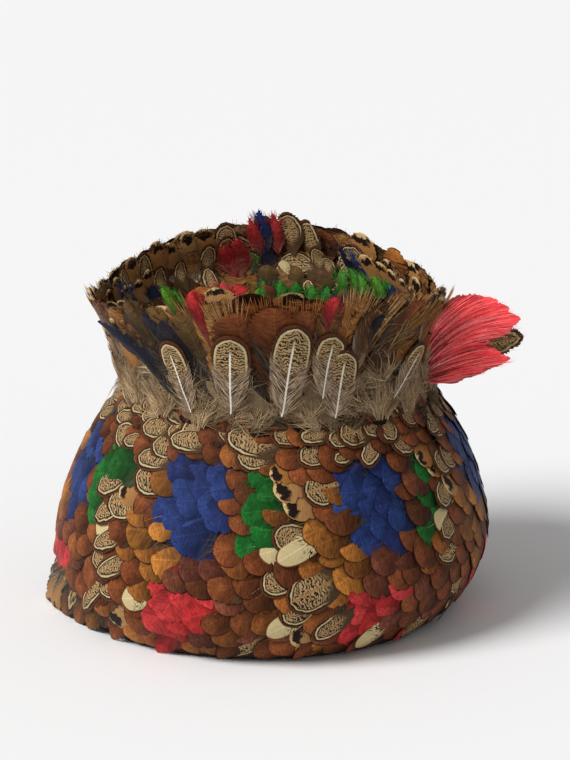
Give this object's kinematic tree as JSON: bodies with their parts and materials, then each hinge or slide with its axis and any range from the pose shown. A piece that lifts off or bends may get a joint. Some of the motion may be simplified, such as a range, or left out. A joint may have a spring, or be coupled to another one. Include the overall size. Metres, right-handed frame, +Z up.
{
  "type": "feather hat",
  "caption": "Hollow felt hat with a round bubble and a flared, sunken crown, covered in overlapping feathers with a standing ruff, down and dyed pads. Rests on its rim.",
  "frame": {"origin": "on the floor under the middle of the object's box, between the widest points side to side and front to back", "axes": "+Z up from the rim to the crown, -Y towards the wearer's face, +X towards the side with the red pads"},
  "size_m": [0.2486, 0.2528, 0.1879],
  "materials": {
    "dark_felt": "dark brown blocked wool felt",
    "dark_binding": "dark brown felt strip folded over the edge",
    "rust_feather": "rust brown barbs with a darker rim and a soft sheen",
    "speckled_feather": "cream edge round a dark speckled middle",
    "gold_feather": "golden tan barbs with a black tip",
    "down": "fluffy grey brown down",
    "blue_feather": "dyed deep blue barbs",
    "green_feather": "dyed green barbs",
    "red_feather": "dyed red barbs, paler at the tips"
  },
  "bodies": {
    "root": {"felt_body": "dark_felt", "rim_binding": "dark_binding", "bubble_course_1": "rust_feather", "bubble_course_2": "rust_feather", "bubble_course_3": "rust_feather", "bubble_course_4": "speckled_feather", "bubble_course_5": "speckled_feather", "waist_down": "down", "ruff": "gold_feather", "bowl_course_1": "gold_feather", "bowl_course_2": "rust_feather", "bowl_course_3": "speckled_feather", "shaft_feather_1": "speckled_feather", "shaft_feather_2": "speckled_feather", "shaft_feather_3": "speckled_feather", "shaft_feather_4": "speckled_feather", "shaft_feather_5": "speckled_feather", "blue_hackle_1": "blue_feather", "blue_hackle_2": "blue_feather", "red_pad_1": "red_feather", "red_pad_2": "red_feather"}
  },
  "joints": []
}
